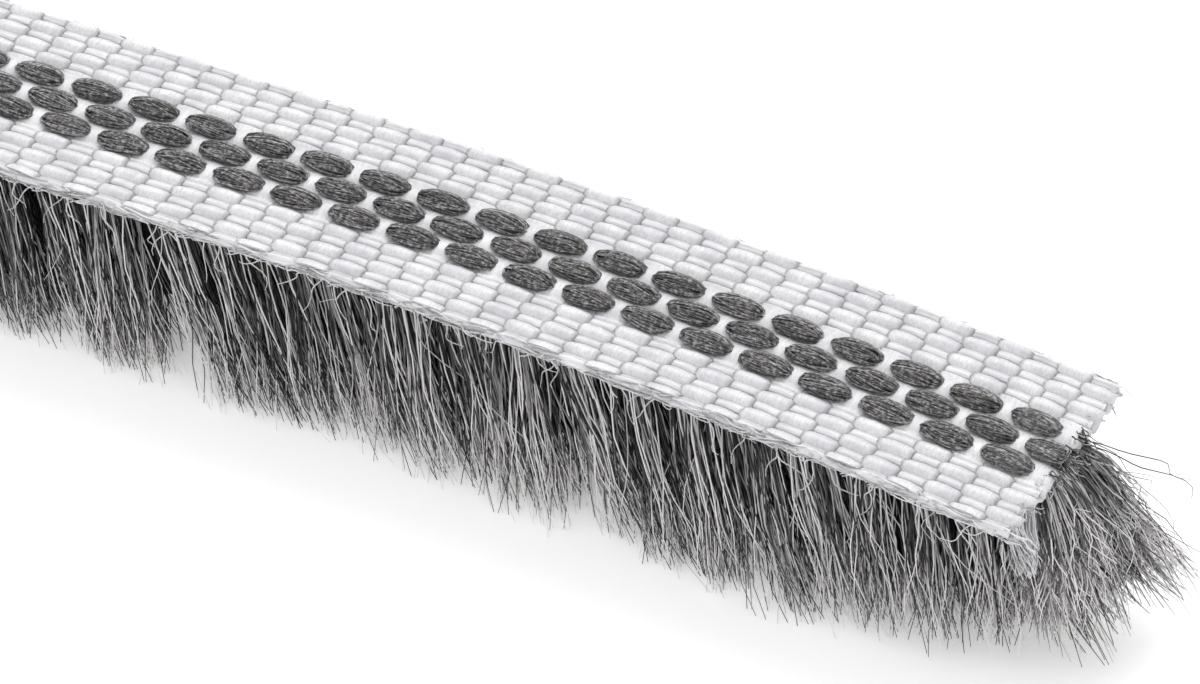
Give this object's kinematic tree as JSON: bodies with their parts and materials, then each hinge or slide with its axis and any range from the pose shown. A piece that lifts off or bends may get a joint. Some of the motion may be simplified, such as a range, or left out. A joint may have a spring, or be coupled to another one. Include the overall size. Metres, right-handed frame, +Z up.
{
  "type": "brush_seal_strip",
  "caption": "A woven pile brush seal strip, lying pile down: a white woven backing tape with grey loops of pile yarn along its middle, over dense, flared grey pile.",
  "frame": {"origin": "on the floor at the pile tips, under the strip's centre line, halfway along its length", "axes": "+X along the strip towards the end with the gentle bend, the end that the picture shows; +Y across the tape, away from the side the strip bends to; +Z up, from the pile tips to the woven back"},
  "size_m": [1.0033, 0.0091, 0.007],
  "materials": {
    "woven_tape": "white polypropylene yarn, plain woven, slightly glossy",
    "pile_yarn": "grey polypropylene pile yarn, fine filaments, satin"
  },
  "bodies": {
    "root": {"backing_tape": "woven_tape", "loops_far": "pile_yarn", "loops_middle": "pile_yarn", "loops_near": "pile_yarn", "pile_far": "pile_yarn", "pile_middle": "pile_yarn", "pile_near": "pile_yarn"}
  },
  "joints": []
}
